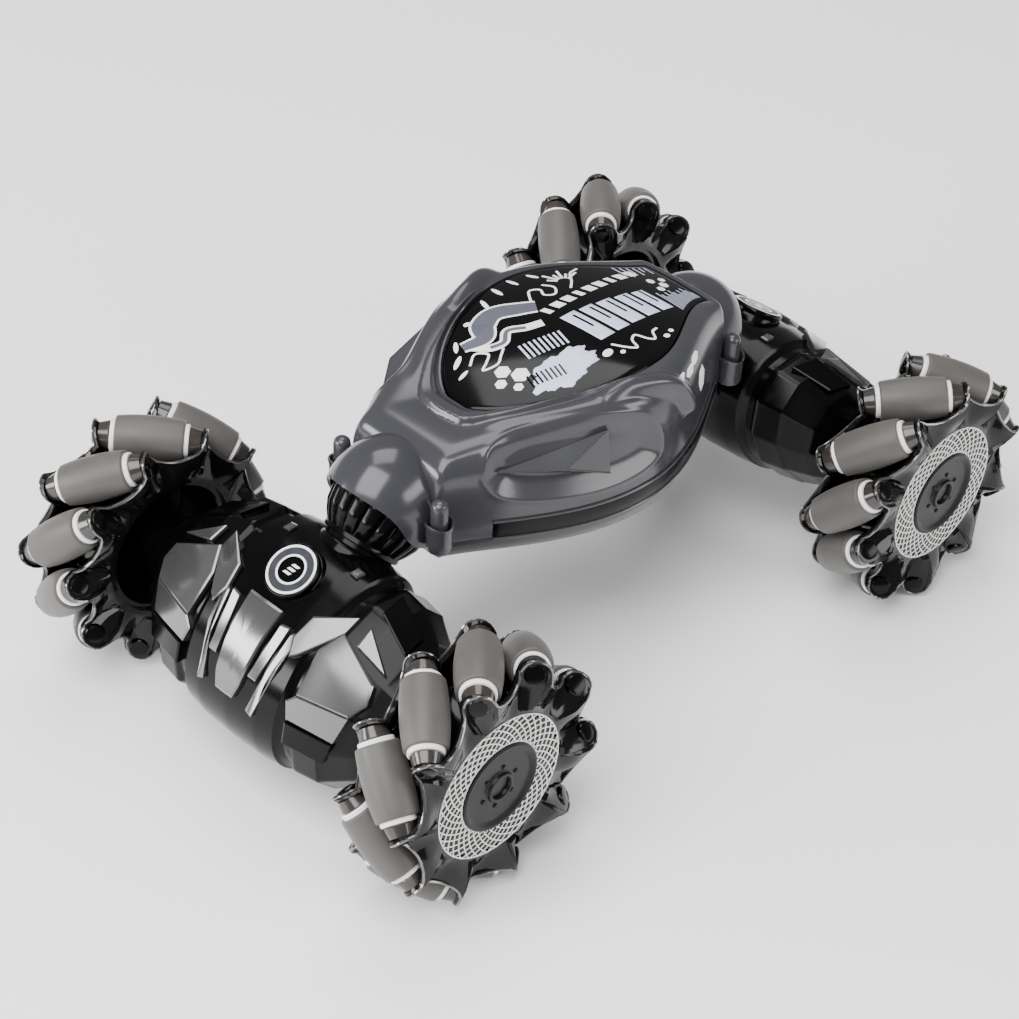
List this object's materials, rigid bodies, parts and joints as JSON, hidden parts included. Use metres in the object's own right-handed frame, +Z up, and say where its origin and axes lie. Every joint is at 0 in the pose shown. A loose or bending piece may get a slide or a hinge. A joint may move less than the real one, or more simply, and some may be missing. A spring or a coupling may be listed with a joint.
{
  "type": "rc stunt car",
  "caption": "Radio-controlled stunt car: a domed body between two axle modules that swivel on slanted ball joints, on wheels made of free-running rollers.",
  "frame": {"origin": "on the ground under the middle of the body, with the wheels standing on the ground", "axes": "+X forwards along the car, +Y to the car's left, +Z up"},
  "size_m": [0.2962, 0.1818, 0.1123],
  "materials": {
    "shell_grey": "moulded gloss ABS",
    "panel_black": "high gloss",
    "housing_black": "high gloss",
    "drum_black": "high gloss",
    "cage_smoke": "smoky translucent gloss",
    "roller_rubber": "satin",
    "motor_steel": "drawn steel can",
    "battery_wrap": "heat-shrunk film",
    "board_green": "solder mask",
    "gearbox_white": "natural nylon"
  },
  "bodies": {
    "chassis": {"upper_shell": "shell_grey", "lower_shell": "shell_grey", "top_panel": "panel_black", "battery_pack": "battery_wrap", "circuit_board": "board_green", "twist_drive": "gearbox_white"},
    "front_module": {"front_drum": "drum_black", "front_housing_inner": "housing_black", "front_housing_outer": "housing_black", "front_left_motor": "motor_steel", "front_right_motor": "motor_steel"},
    "rear_module": {"rear_drum": "drum_black", "rear_housing_inner": "housing_black", "rear_housing_outer": "housing_black", "rear_left_motor": "motor_steel", "rear_right_motor": "motor_steel"},
    "front_left_wheel": {"front_left_cage": "cage_smoke"},
    "front_right_wheel": {"front_right_cage": "cage_smoke"},
    "rear_left_wheel": {"rear_left_cage": "cage_smoke"},
    "rear_right_wheel": {"rear_right_cage": "cage_smoke"},
    "front_left_roller_0": {"front_left_roller_0": "roller_rubber"},
    "front_left_roller_1": {"front_left_roller_1": "roller_rubber"},
    "front_left_roller_2": {"front_left_roller_2": "roller_rubber"},
    "front_left_roller_3": {"front_left_roller_3": "roller_rubber"},
    "front_left_roller_4": {"front_left_roller_4": "roller_rubber"},
    "front_left_roller_5": {"front_left_roller_5": "roller_rubber"},
    "front_left_roller_6": {"front_left_roller_6": "roller_rubber"},
    "front_left_roller_7": {"front_left_roller_7": "roller_rubber"},
    "front_left_roller_8": {"front_left_roller_8": "roller_rubber"},
    "front_left_roller_9": {"front_left_roller_9": "roller_rubber"},
    "front_right_roller_0": {"front_right_roller_0": "roller_rubber"},
    "front_right_roller_1": {"front_right_roller_1": "roller_rubber"},
    "front_right_roller_2": {"front_right_roller_2": "roller_rubber"},
    "front_right_roller_3": {"front_right_roller_3": "roller_rubber"},
    "front_right_roller_4": {"front_right_roller_4": "roller_rubber"},
    "front_right_roller_5": {"front_right_roller_5": "roller_rubber"},
    "front_right_roller_6": {"front_right_roller_6": "roller_rubber"},
    "front_right_roller_7": {"front_right_roller_7": "roller_rubber"},
    "front_right_roller_8": {"front_right_roller_8": "roller_rubber"},
    "front_right_roller_9": {"front_right_roller_9": "roller_rubber"},
    "rear_left_roller_0": {"rear_left_roller_0": "roller_rubber"},
    "rear_left_roller_1": {"rear_left_roller_1": "roller_rubber"},
    "rear_left_roller_2": {"rear_left_roller_2": "roller_rubber"},
    "rear_left_roller_3": {"rear_left_roller_3": "roller_rubber"},
    "rear_left_roller_4": {"rear_left_roller_4": "roller_rubber"},
    "rear_left_roller_5": {"rear_left_roller_5": "roller_rubber"},
    "rear_left_roller_6": {"rear_left_roller_6": "roller_rubber"},
    "rear_left_roller_7": {"rear_left_roller_7": "roller_rubber"},
    "rear_left_roller_8": {"rear_left_roller_8": "roller_rubber"},
    "rear_left_roller_9": {"rear_left_roller_9": "roller_rubber"},
    "rear_right_roller_0": {"rear_right_roller_0": "roller_rubber"},
    "rear_right_roller_1": {"rear_right_roller_1": "roller_rubber"},
    "rear_right_roller_2": {"rear_right_roller_2": "roller_rubber"},
    "rear_right_roller_3": {"rear_right_roller_3": "roller_rubber"},
    "rear_right_roller_4": {"rear_right_roller_4": "roller_rubber"},
    "rear_right_roller_5": {"rear_right_roller_5": "roller_rubber"},
    "rear_right_roller_6": {"rear_right_roller_6": "roller_rubber"},
    "rear_right_roller_7": {"rear_right_roller_7": "roller_rubber"},
    "rear_right_roller_8": {"rear_right_roller_8": "roller_rubber"},
    "rear_right_roller_9": {"rear_right_roller_9": "roller_rubber"}
  },
  "joints": [
    {"name": "front_twist", "type": "hinge", "parent": "chassis", "child": "front_module", "pos_m": [0.069, 0, 0.0793], "axis": [0.7071, 0, -0.7071], "range_deg": [-75, 75]},
    {"name": "rear_twist", "type": "hinge", "parent": "chassis", "child": "rear_module", "pos_m": [-0.069, 0, 0.0793], "axis": [-0.7071, 0, -0.7071], "range_deg": [-75, 75]},
    {"name": "front_left_spin", "type": "hinge", "parent": "front_module", "child": "front_left_wheel", "pos_m": [0.1053, 0.0756, 0.043], "axis": [0, 1, 0], "continuous": true},
    {"name": "front_right_spin", "type": "hinge", "parent": "front_module", "child": "front_right_wheel", "pos_m": [0.1053, -0.0756, 0.043], "axis": [0, 1, 0], "continuous": true},
    {"name": "rear_left_spin", "type": "hinge", "parent": "rear_module", "child": "rear_left_wheel", "pos_m": [-0.1053, 0.0756, 0.043], "axis": [0, 1, 0], "continuous": true},
    {"name": "rear_right_spin", "type": "hinge", "parent": "rear_module", "child": "rear_right_wheel", "pos_m": [-0.1053, -0.0756, 0.043], "axis": [0, 1, 0], "continuous": true},
    {"name": "front_left_roller_0_spin", "type": "hinge", "parent": "front_left_wheel", "child": "front_left_roller_0", "pos_m": [0.10227, 0.0756, 0.07837], "axis": [0.7045, 0.7071, 0.0604], "continuous": true},
    {"name": "front_left_roller_1_spin", "type": "hinge", "parent": "front_left_wheel", "child": "front_left_roller_1", "pos_m": [0.08206, 0.0756, 0.06983], "axis": [0.5345, 0.7071, 0.463], "continuous": true},
    {"name": "front_left_roller_2_spin", "type": "hinge", "parent": "front_left_wheel", "child": "front_left_roller_2", "pos_m": [0.07072, 0.0756, 0.05105], "axis": [0.1603, 0.7071, 0.6887], "continuous": true},
    {"name": "front_left_roller_3_spin", "type": "hinge", "parent": "front_left_wheel", "child": "front_left_roller_3", "pos_m": [0.0726, 0.0756, 0.02919], "axis": [-0.2752, 0.7071, 0.6514], "continuous": true},
    {"name": "front_left_roller_4_spin", "type": "hinge", "parent": "front_left_wheel", "child": "front_left_roller_4", "pos_m": [0.08696, 0.0756, 0.0126], "axis": [-0.6055, 0.7071, 0.3652], "continuous": true},
    {"name": "front_left_roller_5_spin", "type": "hinge", "parent": "front_left_wheel", "child": "front_left_roller_5", "pos_m": [0.10833, 0.0756, 0.00763], "axis": [-0.7045, 0.7071, -0.0604], "continuous": true},
    {"name": "front_left_roller_6_spin", "type": "hinge", "parent": "front_left_wheel", "child": "front_left_roller_6", "pos_m": [0.12854, 0.0756, 0.01617], "axis": [-0.5345, 0.7071, -0.463], "continuous": true},
    {"name": "front_left_roller_7_spin", "type": "hinge", "parent": "front_left_wheel", "child": "front_left_roller_7", "pos_m": [0.13988, 0.0756, 0.03495], "axis": [-0.1603, 0.7071, -0.6887], "continuous": true},
    {"name": "front_left_roller_8_spin", "type": "hinge", "parent": "front_left_wheel", "child": "front_left_roller_8", "pos_m": [0.138, 0.0756, 0.05681], "axis": [0.2752, 0.7071, -0.6514], "continuous": true},
    {"name": "front_left_roller_9_spin", "type": "hinge", "parent": "front_left_wheel", "child": "front_left_roller_9", "pos_m": [0.12364, 0.0756, 0.0734], "axis": [0.6055, 0.7071, -0.3652], "continuous": true},
    {"name": "front_right_roller_0_spin", "type": "hinge", "parent": "front_right_wheel", "child": "front_right_roller_0", "pos_m": [0.10221, -0.0756, 0.07837], "axis": [-0.7044, 0.7071, -0.0616], "continuous": true},
    {"name": "front_right_roller_1_spin", "type": "hinge", "parent": "front_right_wheel", "child": "front_right_roller_1", "pos_m": [0.08201, -0.0756, 0.06979], "axis": [-0.5337, 0.7071, -0.4639], "continuous": true},
    {"name": "front_right_roller_2_spin", "type": "hinge", "parent": "front_right_wheel", "child": "front_right_roller_2", "pos_m": [0.07071, -0.0756, 0.05099], "axis": [-0.1591, 0.7071, -0.689], "continuous": true},
    {"name": "front_right_roller_3_spin", "type": "hinge", "parent": "front_right_wheel", "child": "front_right_roller_3", "pos_m": [0.07262, -0.0756, 0.02913], "axis": [0.2763, 0.7071, -0.6509], "continuous": true},
    {"name": "front_right_roller_4_spin", "type": "hinge", "parent": "front_right_wheel", "child": "front_right_roller_4", "pos_m": [0.08702, -0.0756, 0.01257], "axis": [0.6061, 0.7071, -0.3642], "continuous": true},
    {"name": "front_right_roller_5_spin", "type": "hinge", "parent": "front_right_wheel", "child": "front_right_roller_5", "pos_m": [0.10839, -0.0756, 0.00764], "axis": [0.7044, 0.7071, 0.0616], "continuous": true},
    {"name": "front_right_roller_6_spin", "type": "hinge", "parent": "front_right_wheel", "child": "front_right_roller_6", "pos_m": [0.12859, -0.0756, 0.01621], "axis": [0.5337, 0.7071, 0.4639], "continuous": true},
    {"name": "front_right_roller_7_spin", "type": "hinge", "parent": "front_right_wheel", "child": "front_right_roller_7", "pos_m": [0.13989, -0.0756, 0.03501], "axis": [0.1591, 0.7071, 0.689], "continuous": true},
    {"name": "front_right_roller_8_spin", "type": "hinge", "parent": "front_right_wheel", "child": "front_right_roller_8", "pos_m": [0.13798, -0.0756, 0.05687], "axis": [-0.2763, 0.7071, 0.6509], "continuous": true},
    {"name": "front_right_roller_9_spin", "type": "hinge", "parent": "front_right_wheel", "child": "front_right_roller_9", "pos_m": [0.12358, -0.0756, 0.07343], "axis": [-0.6061, 0.7071, 0.3642], "continuous": true},
    {"name": "rear_left_roller_0_spin", "type": "hinge", "parent": "rear_left_wheel", "child": "rear_left_roller_0", "pos_m": [-0.0992, 0.0756, 0.07797], "axis": [-0.6966, 0.7071, 0.1216], "continuous": true},
    {"name": "rear_left_roller_1_spin", "type": "hinge", "parent": "rear_left_wheel", "child": "rear_left_roller_1", "pos_m": [-0.12092, 0.0756, 0.07488], "axis": [-0.635, 0.7071, -0.3111], "continuous": true},
    {"name": "rear_left_roller_2_spin", "type": "hinge", "parent": "rear_left_wheel", "child": "rear_left_roller_2", "pos_m": [-0.13667, 0.0756, 0.05961], "axis": [-0.3309, 0.7071, -0.6249], "continuous": true},
    {"name": "rear_left_roller_3_spin", "type": "hinge", "parent": "rear_left_wheel", "child": "rear_left_roller_3", "pos_m": [-0.14045, 0.0756, 0.038], "axis": [0.0996, 0.7071, -0.7001], "continuous": true},
    {"name": "rear_left_roller_4_spin", "type": "hinge", "parent": "rear_left_wheel", "child": "rear_left_roller_4", "pos_m": [-0.13079, 0.0756, 0.01829], "axis": [0.4921, 0.7071, -0.5078], "continuous": true},
    {"name": "rear_left_roller_5_spin", "type": "hinge", "parent": "rear_left_wheel", "child": "rear_left_roller_5", "pos_m": [-0.1114, 0.0756, 0.00803], "axis": [0.6966, 0.7071, -0.1216], "continuous": true},
    {"name": "rear_left_roller_6_spin", "type": "hinge", "parent": "rear_left_wheel", "child": "rear_left_roller_6", "pos_m": [-0.08968, 0.0756, 0.01112], "axis": [0.635, 0.7071, 0.3111], "continuous": true},
    {"name": "rear_left_roller_7_spin", "type": "hinge", "parent": "rear_left_wheel", "child": "rear_left_roller_7", "pos_m": [-0.07393, 0.0756, 0.02639], "axis": [0.3309, 0.7071, 0.6249], "continuous": true},
    {"name": "rear_left_roller_8_spin", "type": "hinge", "parent": "rear_left_wheel", "child": "rear_left_roller_8", "pos_m": [-0.07015, 0.0756, 0.048], "axis": [-0.0996, 0.7071, 0.7001], "continuous": true},
    {"name": "rear_left_roller_9_spin", "type": "hinge", "parent": "rear_left_wheel", "child": "rear_left_roller_9", "pos_m": [-0.07981, 0.0756, 0.06771], "axis": [-0.4921, 0.7071, 0.5078], "continuous": true},
    {"name": "rear_right_roller_0_spin", "type": "hinge", "parent": "rear_right_wheel", "child": "rear_right_roller_0", "pos_m": [-0.1066, -0.0756, 0.07848], "axis": [0.7066, 0.7071, 0.0259], "continuous": true},
    {"name": "rear_right_roller_1_spin", "type": "hinge", "parent": "rear_right_wheel", "child": "rear_right_roller_1", "pos_m": [-0.12721, -0.0756, 0.07094], "axis": [0.5564, 0.7071, 0.4363], "continuous": true},
    {"name": "rear_right_roller_2_spin", "type": "hinge", "parent": "rear_right_wheel", "child": "rear_right_roller_2", "pos_m": [-0.13944, -0.0756, 0.05273], "axis": [0.1937, 0.7071, 0.6801], "continuous": true},
    {"name": "rear_right_roller_3_spin", "type": "hinge", "parent": "rear_right_wheel", "child": "rear_right_roller_3", "pos_m": [-0.13864, -0.0756, 0.0308], "axis": [-0.243, 0.7071, 0.664], "continuous": true},
    {"name": "rear_right_roller_4_spin", "type": "hinge", "parent": "rear_right_wheel", "child": "rear_right_roller_4", "pos_m": [-0.1251, -0.0756, 0.01354], "axis": [-0.5869, 0.7071, 0.3944], "continuous": true},
    {"name": "rear_right_roller_5_spin", "type": "hinge", "parent": "rear_right_wheel", "child": "rear_right_roller_5", "pos_m": [-0.104, -0.0756, 0.00752], "axis": [-0.7066, 0.7071, -0.0259], "continuous": true},
    {"name": "rear_right_roller_6_spin", "type": "hinge", "parent": "rear_right_wheel", "child": "rear_right_roller_6", "pos_m": [-0.08339, -0.0756, 0.01506], "axis": [-0.5564, 0.7071, -0.4363], "continuous": true},
    {"name": "rear_right_roller_7_spin", "type": "hinge", "parent": "rear_right_wheel", "child": "rear_right_roller_7", "pos_m": [-0.07116, -0.0756, 0.03327], "axis": [-0.1937, 0.7071, -0.6801], "continuous": true},
    {"name": "rear_right_roller_8_spin", "type": "hinge", "parent": "rear_right_wheel", "child": "rear_right_roller_8", "pos_m": [-0.07196, -0.0756, 0.0552], "axis": [0.243, 0.7071, -0.664], "continuous": true},
    {"name": "rear_right_roller_9_spin", "type": "hinge", "parent": "rear_right_wheel", "child": "rear_right_roller_9", "pos_m": [-0.0855, -0.0756, 0.07247], "axis": [0.5869, 0.7071, -0.3944], "continuous": true}
  ],
  "couplings": [
    {"joint": "rear_twist", "follows": "front_twist", "ratio": -1}
  ]
}
